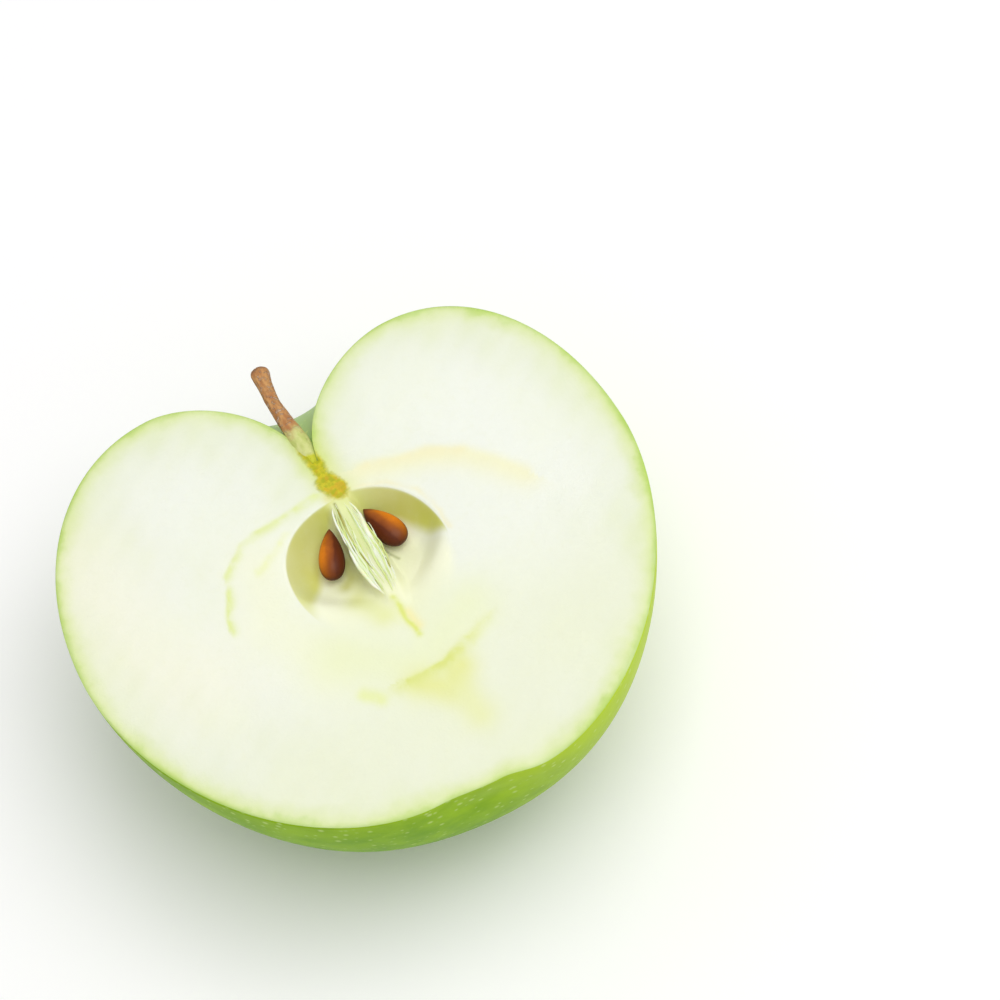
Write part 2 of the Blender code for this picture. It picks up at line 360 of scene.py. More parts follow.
def profile(turn):
    """Radius and height from the stem's cavity to the base, at a turn about the stem."""
    middle = (RIGHT_SIDE + LEFT_SIDE + 2 * BACK_SIDE) / 4
    lean = (RIGHT_SIDE - LEFT_SIDE) / 2
    spread = (RIGHT_SIDE + LEFT_SIDE - 2 * BACK_SIDE) / 4
    size = middle + lean * math.cos(turn) + spread * math.cos(2 * turn)
    rise, inwards = quarter(CAVITY_ROWS, CAVITY_FULLNESS)
    radius = [size[SHOULDER_RADIUS] - (size[SHOULDER_RADIUS] - CAVITY_RADIUS) * inwards]
    height = [CAVITY_HEIGHT + (size[SHOULDER_HEIGHT] - CAVITY_HEIGHT) * rise]
    outwards, rise = quarter(SHOULDER_ROWS, size[SHOULDER_FULLNESS])
    radius.append(size[SHOULDER_RADIUS] + (size[WIDEST_RADIUS] - size[SHOULDER_RADIUS]) * outwards)
    height.append(size[WIDEST_HEIGHT] + (size[SHOULDER_HEIGHT] - size[WIDEST_HEIGHT]) * rise)
    fall, outwards = quarter(FLANK_ROWS, size[FLANK_FULLNESS])
    radius.append(size[BASE_RADIUS] + (size[WIDEST_RADIUS] - size[BASE_RADIUS]) * outwards)
    height.append(size[WIDEST_HEIGHT] + (size[BASE_HEIGHT] - size[WIDEST_HEIGHT]) * fall)
    share = np.arange(BASE_ROWS) / BASE_ROWS
    radius.append(size[BASE_RADIUS] * (1 - share))
    dip = (1 - np.cos(share * math.pi)) / 2
    height.append(size[BASE_HEIGHT] + (BASE_DIP_HEIGHT - size[BASE_HEIGHT]) * dip)
    return np.concatenate(radius), np.concatenate(height)


def skin_grid():
    """Points of the skin in millimetres, one row for each turn from the right of the cut to its left."""
    grid = []
    for turn in np.linspace(0, math.pi, TURNS + 1):
        radius, height = profile(turn)
        share = np.arange(len(radius)) / len(radius)
        radius = radius * (1 + SWELLING_SHARE * share**2 * math.sin(turn) ** 2 * math.cos(SWELLINGS * turn))
        grid.append(np.stack([radius * math.cos(turn), height, -radius * math.sin(turn)], axis=1))
    grid = np.array(grid)
    grid[[0, -1], :, 2] = 0
    floor = grid[:, :, 2].min() + FLAT_SPOT_DEPTH
    grid[:, :, 2] = np.maximum(grid[:, :, 2], floor)
    return grid


skin = skin_grid()
print("skin", skin.shape, "lowest", round(float(skin[:, :, 2].min()), 2), "mm")

# %% [markdown]
# ## The core
# Inside are two chambers, each like half a leaf, lined with a thin papery wall. The knife opened
# both. Near the stem their walls are steep and crisp. Towards the base their floors rise gently, a
# little sooner on the outer side, and fade into the flesh. A fibrous wall stands between them. The
# hollows are written as a depth for every point of the cut, because one rule then gives both the
# shape and, later, the colours.

# %% Depth of the core
CHAMBER_WIDTH = np.array([11.6, 11.1])
CHAMBER_MIDDLE = np.array([-12.8, -14.2])
CHAMBER_RISE = np.array([10.8, 12.4])
CHAMBER_FALL = np.array([15.4, 14.0])
RISE_FULLNESS = np.array([2.4, 2.15])
FALL_FULLNESS = np.array([1.65, 1.8])
CHAMBER_DEPTH = 4.3
OUTER_RISE = np.array([0.1, 0.2])
WALL_SHARE, LOW_WALL_SHARE = 0.36, 0.9
RISE_STARTS, RISE_ENDS = -0.14, 0.66
WALL_HALF_WIDTH, WALL_FOOT = 1.1, 1.5
WALL_LEAN, WALL_END, WALL_FADE = 0.5, -20.0, 8.0


def smooth(value):
    """0 below 0, 1 above 1, and a smooth step between."""
    value = np.clip(value, 0, 1)
    return value * value * (3 - 2 * value)


def chamber_edge(x, y):
    """0 in a chamber's middle, 1 on its edge, and more outside. Also the share of the way down it."""
    side = (x > 0).astype(int)
    down = CHAMBER_MIDDLE[side] - y
    reach = np.where(down > 0, CHAMBER_FALL[side], CHAMBER_RISE[side])
    fullness = np.where(down > 0, FALL_FULLNESS[side], RISE_FULLNESS[side])
    across = np.abs(x / CHAMBER_WIDTH[side])
    edge = (across**fullness + np.abs(down / reach) ** fullness) ** (1 / fullness)
    return edge, down / CHAMBER_FALL[side]


def core_depth(x, y):
    """How far the cut is hollowed below its own level, in millimetres."""
    edge, down = chamber_edge(x, y)
    inside = np.clip(1 - edge, 0, 1)
    side = (x > 0).astype(int)
    low = down + OUTER_RISE[side] * np.abs(x / CHAMBER_WIDTH[side]) ** 3
    rise = smooth((low - RISE_STARTS) / (RISE_ENDS - RISE_STARTS))
    width = WALL_SHARE + (LOW_WALL_SHARE - WALL_SHARE) * rise
    share = np.clip(inside / width, 0, 1)
    steep_bowl = 1 - (1 - share) ** 2.0
    bowl = steep_bowl + (smooth(share) - steep_bowl) * smooth(rise * 2)
    middle = WALL_LEAN * smooth(y / WALL_END)
    half_width = WALL_HALF_WIDTH * (1 - smooth((WALL_END - y + WALL_FADE / 2) / WALL_FADE))
    from_wall = smooth((np.abs(x - middle) - half_width) / WALL_FOOT)
    return CHAMBER_DEPTH * (1 - rise) * bowl * from_wall


sample = core_depth(np.array([0.0, -5.0, -8.0, 8.0]), np.array([-10.0, -9.0, -12.0, -10.0]))
print("depths", np.round(sample, 2), "mm")

# %% [markdown]
# ## The cut as spokes and rings
# The cut face is drawn as spokes from the middle of the core to every point of the skin's edge, and
# rings across them. One ring runs exactly along the chambers' edge, so that the edge is crisp, and
# the last few rings close up at the skin, where the knife leaves a tiny rounded rim. A spoke grid
# wastes few faces and spends most of them at the core, which has the finest detail.

# %% Points of the cut
CORE_MIDDLE = np.array([0.0, -13.0])
CORE_RINGS, FLESH_RINGS = 86, 90
RIM_DISTANCES = np.array([0.7, 0.35, 0.15])
RIM_DROPS = np.array([0.01, 0.04, 0.09])
EDGE_DROP = 0.18
RIM_FADES_FROM = 10.0
HALVINGS = 30


def edge_on_cut(grid):
    """The skin's edge on the cut: from the cavity down the right side and back up the left."""
    cavity = [[0, CAVITY_HEIGHT, 0]]
    base = [[0, BASE_DIP_HEIGHT, 0]]
    return np.concatenate([cavity, grid[0], base, grid[-1][::-1]])[:, :2]


def core_shares(edge):
    """Along each spoke, the share of its length where it leaves the chambers."""
    inside = np.zeros(len(edge))
    outside = np.ones(len(edge))
    for _ in range(HALVINGS):
        halfway = (inside + outside) / 2
        spot = CORE_MIDDLE + (edge - CORE_MIDDLE) * halfway[:, None]
        within = chamber_edge(spot[:, 0], spot[:, 1])[0] < 1
        inside = np.where(within, halfway, inside)
        outside = np.where(within, outside, halfway)
    return inside


def cut_rings(edge):
    """Places of all rings, from the one just inside the skin to the one round the middle."""
    length = np.linalg.norm(edge - CORE_MIDDLE, axis=1)
    core = core_shares(edge)
    last = 1 - RIM_DISTANCES[0] / length
    rim = [1 - distance / length for distance in RIM_DISTANCES[::-1]]
    flesh = [last + (core - last) * step / FLESH_RINGS for step in range(1, FLESH_RINGS + 1)]
    inner = [core * (1 - step / CORE_RINGS) for step in range(1, CORE_RINGS)]
    shares = np.array(rim + flesh + inner)
    return CORE_MIDDLE + (edge - CORE_MIDDLE)[None] * shares[:, :, None]


edge = edge_on_cut(skin)
rings = cut_rings(edge)
print("cut", rings.shape, "points on", len(rings), "rings")

# %% [markdown]
# ## One closed mesh
# Skin and cut belong to one solid body, so they share the points of the edge. The body is put
# together from three lists: the skin's grid, the two ends of its rows on the stem's axis, and the
# rings with the point in their middle. Faces of the skin and of the cut get different material slots.

# %% Mesh of the half


def join_rows(rows, closed):
    """Faces between neighbouring rows of point numbers."""
    faces = []
    for row, following in zip(rows, rows[1:]):
        pairs = list(zip(row, following))
        if closed:
            pairs.append(pairs[0])
        for (a, b), (c, d) in zip(pairs, pairs[1:]):
            corners = list(dict.fromkeys([a, c, d, b]))
            faces.append(corners)
    return faces


def half_mesh(grid, rings):
    """Vertices in millimetres, the skin's faces, and the cut's faces."""
    grid = grid.copy()
    grid[[0, -1], :, 2] = -EDGE_DROP * smooth(np.abs(grid[[0, -1], :, 0]) / RIM_FADES_FROM)
    turns, rows, _ = grid.shape
    ends = np.array([[0, CAVITY_HEIGHT, 0], [0, BASE_DIP_HEIGHT, 0]])
    numbers = np.arange(turns * rows).reshape(turns, rows)
    cavity, base = turns * rows, turns * rows + 1
    columns = [[cavity, *column, base] for column in numbers.tolist()]
    skin_faces = join_rows(columns, closed=False)
    depth = core_depth(rings[:, :, 0], rings[:, :, 1])
    rim = rings[: len(RIM_DROPS), :, 0]
    depth[: len(RIM_DROPS)] = RIM_DROPS[::-1, None] * smooth(np.abs(rim) / RIM_FADES_FROM)
    flat = np.concatenate([rings, -depth[:, :, None]], axis=2)
    first = turns * rows + 2
    count = rings.shape[1]
    edge_numbers = [cavity, *numbers[0].tolist(), base, *numbers[-1][::-1].tolist()]
    ring_numbers = [edge_numbers]
    ring_numbers += (first + np.arange(len(rings) * count).reshape(len(rings), count)).tolist()
    middle = first + len(rings) * count
    ring_numbers.append([middle] * count)
    cut_faces = join_rows(ring_numbers, closed=True)
    middle_place = [[*CORE_MIDDLE, -core_depth(CORE_MIDDLE[:1], CORE_MIDDLE[1:])[0]]]
    vertices = np.concatenate([grid.reshape(-1, 3), ends, flat.reshape(-1, 3), middle_place])
    return vertices, skin_faces, cut_faces


def make_piece(name, vertices, faces, material):
    """An object from points in millimetres, with its faces turned outwards and shaded smooth."""
    mesh = bpy.data.meshes.new(name)
    mesh.from_pydata(from_knot(vertices).tolist(), [], faces)
    mesh.materials.append(material)
    builder = bmesh.new()
    builder.from_mesh(mesh)
    bmesh.ops.recalc_face_normals(builder, faces=builder.faces)
    builder.to_mesh(mesh)
    builder.free()
    mesh.shade_smooth()
    return add_object(name, mesh)


vertices, skin_faces, cut_faces = half_mesh(skin, rings)
print("half", len(vertices), "points", len(skin_faces), "skin faces", len(cut_faces), "cut faces")

# %% [markdown]
# ## Colours painted with soft strokes
# Cut apple flesh is nearly white, with soft washes of cream and green, a fine line round the core,
# and the stem's golden tissue. Such marks follow curves, not a repeating pattern, so they are painted
# on the mesh like strokes of an airbrush: each has a path, a colour, a strength and a width to either
# side. The paint is stored as a colour on every point, which the material then reads.

# %% Strokes on the cut
FLESH = (236, 239, 227)
PEACH_VEIN = [(5, 0.4), (9, -0.9), (14, -2.4), (18.5, -4.8), (21.5, -8), (24.5, -12)]
RIM_TINTS = [
    # reach in millimetres, colour, strength
    (11.0, (230, 234, 214), 0.8),
    (4.5, (221, 229, 190), 0.7),
    (2.0, (216, 228, 160), 0.5),
    (0.7, (192, 215, 100), 0.7),
    (0.32, (136, 184, 60), 0.95),
]
WASHES = [
    # path, colour, strength, width to the left of the path, width to its right
    ([(-10, 6), (-17, 9)], (240, 243, 232), 0.4, 8, 8),
    ([(12, 6), (24, 0), (26, -14)], (240, 243, 232), 0.6, 9, 9),
    ([(-36, 8), (-34, -8), (-28, -18)], (244, 242, 218), 0.5, 8, 8),
    ([(-20, -37), (4, -42), (22, -34)], (231, 235, 208), 0.8, 10, 10),
    ([(-14, -6), (-16, -14), (-12, -24)], (241, 243, 212), 0.7, 5, 5),
    ([(-10, -24), (-2, -30), (8, -26)], (232, 238, 192), 0.75, 5, 5),
    ([(-2.5, -33), (0.4, -35.5), (3, -33.5)], (226, 229, 138), 0.8, 2.4, 2.4),
    ([(1.4, -36), (2.2, -41)], (228, 232, 165), 0.7, 2.4, 2.4),
    ([(-4.5, -17.1), (-3.3, -19), (-2.4, -21.2)], (226, 232, 142), 0.6, 2.2, 1.8),
    # The next two washes are painted shadow beside and below the left seed.
    ([(-2.9, -9.5), (-3.4, -12.0), (-4.6, -12.9)], (196, 196, 100), 0.75, 1.1, 1.1),
    ([(-2.6, -12.5), (-3.4, -15.0), (-4.4, -16.4)], (226, 228, 146), 0.5, 1.3, 1.3),
    ([(0.2, -3.0), (0.2, -7), (0.1, -12), (0.3, -17)], (230, 237, 164), 0.95, 1.7, 1.7),
    ([(0.2, -13.5), (0.3, -19.0)], (242, 243, 204), 0.8, 1.8, 1.8),
    ([(-0.4, 8), (-0.1, 4), (0.3, 0.3), (1.0, -0.8)], (214, 224, 122), 0.85, 2.9, 2.1),
    ([(-0.8, -1.3), (1.2, -1.9)], (222, 216, 124), 0.8, 0.9, 0.9),
    ([(0.6, -22.6), (1.0, -25.1)], (242, 232, 158), 0.7, 0.8, 0.8),
    (PEACH_VEIN, (240, 238, 194), 0.78, 1.0, 2.6),
]
LINES = [
    # the same, but thin, and the material breaks them up
    ([(-2.5, 0.0), (-10, -0.9), (-15, -1.6), (-18.4, -4.7)], (220, 231, 138), 0.8, 0.9, 0.35),
    ([(-19.6, -7.0), (-21.0, -11.0), (-21.5, -12.8)], (220, 231, 138), 0.85, 0.9, 0.3),
    ([(-8.7, -3.4), (-11, -4.8), (-14.2, -6.6)], (232, 238, 170), 0.7, 0.7, 0.5),
    ([(3.2, -1.9), (7.0, -3.4), (10.2, -6.6), (11.5, -11.0), (11.4, -14.0)], (238, 230, 180), 0.5, 0.5, 0.3),
    ([(6, 0.4), (9, -0.7), (14, -1.9), (18.5, -4.2)], (240, 235, 192), 0.75, 0.6, 1.1),
    ([(-5, -31.4), (-1.3, -31.5), (1.6, -31.9), (4.1, -30.8), (5.4, -30.2)], (216, 223, 118), 0.9, 0.4, 1.4),
    ([(5.4, -30.2), (7.6, -29.1), (9.4, -28.5)], (222, 229, 138), 0.5, 0.7, 1.3),
    ([(-10.2, -30.2), (-9.0, -31.3), (-8.1, -32.6)], (226, 235, 138), 0.6, 0.9, 0.9),
    # The next three dark lines are painted shade in the grooves beside the shreds, with a brown thread drawn
    # along each.
    ([(-0.6, -2.7), (-0.8, -5.2), (-1, -8.2), (-0.8, -11.5), (-0.5, -13.8)], (150, 152, 50), 0.95, 0.2, 0.2),
    ([(-1.5, -9.5), (-1.3, -12.0), (-1.1, -14.4)], (186, 194, 120), 0.7, 0.14, 0.14),
    ([(1.6, -13.0), (1.9, -13.8), (1.9, -15.2)], (178, 172, 90), 0.8, 0.14, 0.14),
    ([(1.3, -13.0), (1.5, -14.8)], (228, 224, 130), 0.8, 0.5, 0.5),
    # Painted shadow under the right seed's edge.
    ([(2.3, -10.2), (3.1, -11.7), (3.7, -12.7)], (160, 166, 100), 0.7, 0.22, 0.22),
    ([(-0.1, -19.5), (0.3, -21.4), (0.0, -23.3), (0.4, -26.3)], (218, 227, 102), 0.9, 0.45, 0.45),
]
KNOT_MARK = ([(0.0, 1.0), (0.8, -0.8)], 1.75, 1.0)
STALK_TISSUE = ([(-0.4, 7.4), (-0.2, 5.2), (0.0, 3.0)], 1.25, 0.85)
# The lining's olive, darkened as painted shade of the chambers' steep walls.
WALL_AND_SHADE_COLOUR = (203, 205, 76)
FLOOR_COLOUR = (236, 239, 200)
# Painted light on the chamber floors where they rise towards the base and turn from the lamp.
RISE_LIGHT_COLOUR = (248, 249, 220)
RISE_MIDDLE, RISE_REACH = 0.24, 0.42
PAPER_SOFTNESS, PAPER_EDGE, PAPER_END = 1.6, 0.016, 0.42
WALL_FEET = {
    # inner curve of each papery wall, where its painted shade ends, for the left and the right of the axis
    -1: [
        (-0.8, -2.6), (-3.2, -4.9), (-4.7, -6.4), (-6.3, -8.7),
        (-7.7, -11.0), (-8.7, -12.4), (-10.0, -15.0), (-10.4, -19.0),
    ],
    1: [(1.2, -4.0), (4.7, -6.1), (6.5, -7.8), (8.0, -10.0), (9.4, -12.5), (12.0, -15.0)],
}
print("washes", len(WASHES), "lines", len(LINES))

# %% [markdown]
# A stroke needs to know, for every point of the cut, how far the point is from the path and on which
# side of it. The stroke's colour then covers the paint most on the path and fades to both sides.


# %% Laying strokes
def beside(path, spots):
    """For each spot: its distance from a path, and 1 on the left of it or -1 on the right."""
    path = np.array(path, float)
    nearest = np.full(len(spots), np.inf)
    side = np.ones(len(spots))
    for start, end in zip(path, path[1:]):
        step = end - start
        away = spots - start
        share = np.clip(away @ step / (step @ step), 0, 1)
        gap = away - share[:, None] * step
        distance = np.linalg.norm(gap, axis=1)
        turn = np.sign(step[0] * away[:, 1] - step[1] * away[:, 0])
        closer = distance < nearest
        side = np.where(closer, turn, side)
        nearest = np.where(closer, distance, nearest)
    return nearest, side


def blend(paint, colour, strength):
    """Paint covered by a colour, as strongly as each spot's strength says."""
    return paint + (np.array(shade(*colour)[:3]) - paint) * strength[:, None]


# %% Painting the core and the cut
def papery_wall_and_shade(spots):
    """1 on the papery wall and its painted shade, from a chamber's edge to its inner curve, 0 off it."""
    edge, down = chamber_edge(spots[:, 0], spots[:, 1])
    wall = np.zeros(len(spots))
    for outer, path in WALL_FEET.items():
        distance, side = beside(path, spots)
        own = np.sign(spots[:, 0]) == outer
        wall = np.where(own, smooth(0.5 + side * outer * distance / PAPER_SOFTNESS), wall)
    return wall * smooth((1 - edge) / PAPER_EDGE) * smooth((PAPER_END - down) / PAPER_END)


def painted(spots, skin_distance):
    """The cut's colour at each spot, given how far the spot is from the skin."""
    paint = np.tile(shade(*FLESH)[:3], (len(spots), 1))
    x, y = spots.T
    uneven = 1.05 + 0.3 * np.sin(0.33 * x + 0.21 * y) + 0.25 * np.sin(0.9 * x - 0.7 * y) * np.sin(0.6 * y)
    skin_distance = skin_distance * uneven
    for reach, colour, strength in RIM_TINTS:
        paint = blend(paint, colour, np.exp(-((skin_distance / reach) ** 1.6)) * strength)
    edge, down = chamber_edge(spots[:, 0], spots[:, 1])
    paint = blend(paint, FLOOR_COLOUR, smooth((1 - edge) / 0.5) * 0.9)
    # Painted light where the chamber floors rise, lifting the shade of their slope.
    painted_rise_light = smooth(1 - np.abs(down - RISE_MIDDLE) / RISE_REACH) * smooth((1.02 - edge) / 0.15)
    paint = blend(paint, RISE_LIGHT_COLOUR, painted_rise_light * 0.9)
    # Painted shade on the steep walls, over the lining's olive.
    paint = blend(paint, WALL_AND_SHADE_COLOUR, papery_wall_and_shade(spots) * 0.97)
    return stroked(paint, WASHES, spots)


def stroked(paint, strokes, spots):
    """Paint with strokes laid over it, each fading to either side of its path."""
    for path, colour, strength, left_width, right_width in strokes:
        distance, side = beside(path, spots)
        width = np.where(side > 0, left_width, right_width)
        paint = blend(paint, colour, strength * np.exp(-((distance / width) ** 2)))
    return paint


def wavering(spots):
    """Spots moved to and fro by a fraction of a millimetre, so that lines aren't straight."""
    x, y = spots.T
    aside = 0.2 * np.sin(0.8 * y + 0.4 * x) + 0.06 * np.sin(2.3 * y - 1.7 * x)
    along = 0.2 * np.sin(0.7 * x - 0.5 * y) + 0.06 * np.sin(2.1 * x + 1.3 * y)
    return spots + np.stack([aside, along], axis=1) * smooth((np.hypot(x, y + 9) - 9) / 6)[:, None]


def firm_mark(path, reach, strength, spots):
    """A mark with a firm outline round a path."""
    return strength * np.exp(-((beside(path, spots)[0] / reach) ** 4))


def distance_to_skin(spots, edge):
    """How far each spot of the cut is from the skin, in millimetres."""
    tree = KDTree(len(edge))
    for number, corner in enumerate(edge):
        tree.insert((*corner, 0), number)
    tree.balance()
    return np.array([tree.find((*spot, 0))[2] for spot in spots])


# %% Paint on every point
flat_spots = vertices[:, :2]
skin_distance = distance_to_skin(flat_spots, edge)
cut_paint = painted(flat_spots, skin_distance)
lined_paint = stroked(cut_paint, LINES, wavering(flat_spots))
wall_paper_and_shade = papery_wall_and_shade(flat_spots)
knot_mark = np.maximum(firm_mark(*KNOT_MARK, flat_spots), firm_mark(*STALK_TISSUE, flat_spots))
print("strokes", len(WASHES) + len(LINES), "painted on", len(cut_paint), "points")

# %% [markdown]
# ## Flesh
# Flesh is moist, fine-grained and slightly see-through: light enters it and comes out a little
# further on, which softens every edge. The painted colours carry the large forms. Noise adds the
# faint mottling of the juice-filled cells and frays the green along the skin, and a fine bump gives
# the cut its grain. The papery lining is smoother than the flesh, and the knot is rough and speckled
# with gold.


# %% Flesh material
def make_flesh():
    """The cut's material, from the painted colours."""
    flesh = Paint(
        "apple_flesh", Subsurface_Weight=0.35, Subsurface_Scale=0.0035, IOR=1.36, Specular_IOR_Level=0.35
    )
    flesh.shader.inputs["Subsurface Radius"].default_value = (1.0, 0.9, 0.5)
    flesh.shader.subsurface_method = "BURLEY"
    # Noise breaks up the thin lines, the painted shadow and groove shade among them.
    line_breaks = flesh.between(flesh.noise(2.4, 4.0), 0.34, 0.6) * 0.6 + 0.4
    colour = flesh.mix(line_breaks, flesh.attribute("paint", output=0), flesh.attribute("lined", output=0))
    from_skin = flesh.attribute("from_skin")
    frayed = from_skin + (flesh.noise(6.0, 3.0) - 0.5) * 5 + (flesh.noise(1.6, 4.0) - 0.5) * 1.8
    colour = flesh.mix(flesh.between(frayed * -1, -3.2, 0.6) * 0.5, colour, shade(200, 218, 116))
    colour = flesh.mix(flesh.between(frayed * -1, -0.9, 0.7) * 0.5, colour, shade(168, 204, 80))
    # The papery lining is smoother than the flesh, and its painted colour also carries the walls' shade.
    paper_and_shade = flesh.attribute("paper_and_shade")
    knot = flesh.attribute("knot")
    clouds = flesh.between(flesh.noise(9.0, 3.0), 0.35, 0.75)
    colour = flesh.mix(clouds * 0.2, colour, shade(236, 241, 208))
    cells = flesh.between(flesh.noise(1.1, 4.0), 0.5, 0.8)
    colour = flesh.mix(cells * 0.1, colour, shade(226, 230, 190))
    specks = flesh.between(flesh.noise(0.8, 3.0), 0.38, 0.66)
    gold = flesh.mix(specks, shade(170, 172, 0), shade(206, 194, 24))
    ripe = flesh.attribute("ripe") * 0.14
    orange = flesh.between(flesh.noise(0.9, 4.0) + ripe, 0.52, 0.72)
    gold = flesh.mix(orange * flesh.between(knot, 0.5, 0.9) * 0.6, gold, shade(208, 162, 20))
    edges = flesh.noise(0.7, 3.0) - 0.5
    colour = flesh.mix(flesh.between(knot + edges * 0.7, 0.15, 0.85) * 0.95, colour, gold)
    flesh.feed("Base Color", colour)
    grain = flesh.noise(0.35, 3.0) * (1 - paper_and_shade * 0.7)
    rough_knot = flesh.noise(0.8, 3.0) * knot * 3
    flesh.feed("Roughness", (0.42 + cells * 0.12 - paper_and_shade * 0.08).clamped())
    flesh.bump(grain + rough_knot, 0.05)
    return flesh.material


flesh_material = make_flesh()

# %% [markdown]
# ## Skin
# The skin is a waxy yellow-green, paler in the stem's cavity. It is lighter towards the cut, partly its
# own yellow band and partly painted light, and further down its darker colour stands for painted shade.
# Faint streaks run from stem to base, and pale breathing pores are strewn all over it. A pattern of
# cells places one point in each cell of space. Where a cell's point lies close to the surface a dot
# shows, so dots differ in size and some cells have none, as on the fruit.


# %% Skin material
PORE_SPACING = 1.5


def make_skin():
    """The peel's material."""
    peel = Paint("apple_skin", IOR=1.45, Specular_IOR_Level=0.04, Coat_IOR=1.35)
    place = peel.add("ShaderNodeTexCoord", {}, {}, "Object")
    streaks = peel.between(peel.noise(5.0, 4.0, stretch=(1, 0.22, 1)), 0.25, 0.8)
    colour = peel.mix(streaks, shade(108, 158, 0), shade(148, 191, 12))
    clouds = peel.between(peel.noise(16.0, 2.0), 0.4, 0.65)
    colour = peel.mix(clouds * 0.25, colour, shade(102, 152, 0))
    # Painted light, lighter and yellower towards the right lobe.
    painted_light_right = peel.attribute("painted_light_right")
    colour = peel.mix(painted_light_right * 0.75, colour, shade(196, 222, 44))
    # Lighter near the cut: partly the skin's own yellow band, partly painted light.
    near_cut_band_and_light = peel.attribute("near_cut_band_and_light")
    colour = peel.mix(near_cut_band_and_light * 0.7, colour, shade(190, 218, 44))
    cavity = peel.attribute("cavity")
    colour = peel.mix(cavity * 0.8, colour, shade(176, 206, 142))
    knot = peel.attribute("knot")
    colour = peel.mix(knot * 0.85, colour, shade(182, 184, 50))
    cells = peel.node("ShaderNodeTexVoronoi", {}, {"Vector": place, "Scale": 1 / (PORE_SPACING * MM)})
    distance = Value(peel, cells.outputs["Distance"])
    chance = peel.add("ShaderNodeSeparateColor", {}, {"Color": Value(peel, cells.outputs["Color"])})
    pores = peel.between((0.2 + chance * 0.2) - distance, 0.0, 0.3)
    colour = peel.mix(pores * 0.6, colour, shade(206, 226, 140))
    peel.feed("Base Color", colour)
    fine = peel.noise(0.8, 3.0)
    peel.feed("Roughness", (0.34 + fine * 0.12 + pores * 0.15).clamped())
    peel.feed("Coat Weight", 0.01 + fine * 0.04)
    peel.bump(pores * 0.6 + peel.noise(3.0, 2.0), 0.06)
    return peel.material


skin_material = make_skin()

# %% [markdown]
# Now the half is put together: one mesh, two material slots, and the painted values stored on it.

# %% Finished half


def places_of(mesh, origin):
    """The x, y and z of a mesh's points in millimetres, from a place given from the knot."""
    spots = np.empty(len(mesh.vertices) * 3)
    mesh.vertices.foreach_get("co", spots)
    return (spots.reshape(-1, 3) - from_knot(origin)).T / MM


def store(mesh, name, values):
    """Stores a number or a colour for each point of a mesh."""
    kind, field = ("FLOAT", "value") if values.ndim == 1 else ("FLOAT_COLOR", "color")
    if values.ndim == 2:
        values = np.column_stack([values, np.ones(len(values))])
    layer = mesh.attributes.new(name, kind, "POINT")
    layer.data.foreach_set(field, np.ascontiguousarray(values, dtype=np.float32).ravel())


def make_half():
    """The half's object, with its two materials and the values that they read."""
    half = make_piece("apple_half_cut", vertices, skin_faces + cut_faces, skin_material)
    mesh = half.data
    mesh.materials.append(flesh_material)
    slots = np.zeros(len(mesh.polygons), dtype=np.int32)
    slots[len(skin_faces) :] = 1
    mesh.polygons.foreach_set("material_index", slots)
    x, y, z = vertices.T
    # Painted light that grows towards the right lobe and upwards.
    painted_light_right = smooth((x + z * 0.4 + 14) / 40)
    values = {
        "paint": cut_paint,
        "lined": lined_paint,
        "from_skin": skin_distance,
        "paper_and_shade": wall_paper_and_shade,
        "knot": knot_mark,
        "ripe": smooth((x - y * 0.8 + 0.6) / 2.2),
        # The skin's band by the cut and painted light there, stronger to the right.
        "near_cut_band_and_light": np.exp(z / 4.0) * (0.35 + 0.65 * painted_light_right),
        "painted_light_right": painted_light_right,
        "cavity": smooth((17 - np.hypot(x, z)) / 8) * smooth((y - 2) / 3),
    }
    for name, numbers in values.items():
        store(mesh, name, numbers)
    return half


half = make_half()
print("half has", len(half.data.vertices), "points")

# %% [markdown]
# ## Seeds
# Two seeds lie in the chambers, each a flattened drop with its point towards the stem. One rule gives
# the form: the radius grows from the point as a power of the way along, and closes bluntly at the
# other end. Geometry Nodes apply the rule to a ball, and the two seeds use the same nodes with
# their own places and turns.


# %% A tree of Geometry Nodes
class Shape(Paint):
    """A Geometry Nodes tree, built with the same calls as a material."""

    def __init__(self, name, inputs):
        self.tree = bpy.data.node_groups.new(name, "GeometryNodeTree")
        self.tree.interface.new_socket("Geometry", in_out="INPUT", socket_type="NodeSocketGeometry")
        self.sockets = {}
        for label, kind in (inputs | {"Material": "NodeSocketMaterial"}).items():
            socket = self.tree.interface.new_socket(label, in_out="INPUT", socket_type=kind)
            self.sockets[label] = socket.identifier
        self.tree.interface.new_socket("Geometry", in_out="OUTPUT", socket_type="NodeSocketGeometry")
        self.start = self.tree.nodes.new("NodeGroupInput")
        self.end = self.tree.nodes.new("NodeGroupOutput")

    def given(self, label):
        """A named input of the tree."""
        return Value(self, self.start.outputs[label])

    def finish(self, geometry):
        """Shades smooth, realizes instances, sets the material, and ends the tree."""
        shaded = self.add("GeometryNodeSetShadeSmooth", {}, {"Geometry": geometry})
        real = self.add("GeometryNodeRealizeInstances", {}, {"Geometry": shaded})
        inputs = {"Geometry": real, "Material": self.given("Material")}
        done = self.add("GeometryNodeSetMaterial", {}, inputs)
        self.tree.links.new(done.socket, self.end.inputs[0])

    def apply(self, source, name, settings):
        """A plain mesh object: the tree's result on a source object, which is then removed."""
        modifier = source.modifiers.new(name, "NODES")
        modifier.node_group = self.tree
        for label, value in settings.items():
            modifier[self.sockets[label]] = value
        ready = source.evaluated_get(bpy.context.evaluated_depsgraph_get())
        mesh = bpy.data.meshes.new_from_object(ready)
        bpy.data.objects.remove(source)
        mesh.name = name
        return add_object(name, mesh)


# %% Seed shape in Geometry Nodes
SEED_LENGTH, SEED_THICKNESS = 7.9, 3.0
SEED_POINT, SEED_BLUNT = 0.85, 0.45
NUMBER, WHOLE, PLACE = "NodeSocketFloat", "NodeSocketInt", "NodeSocketVector"


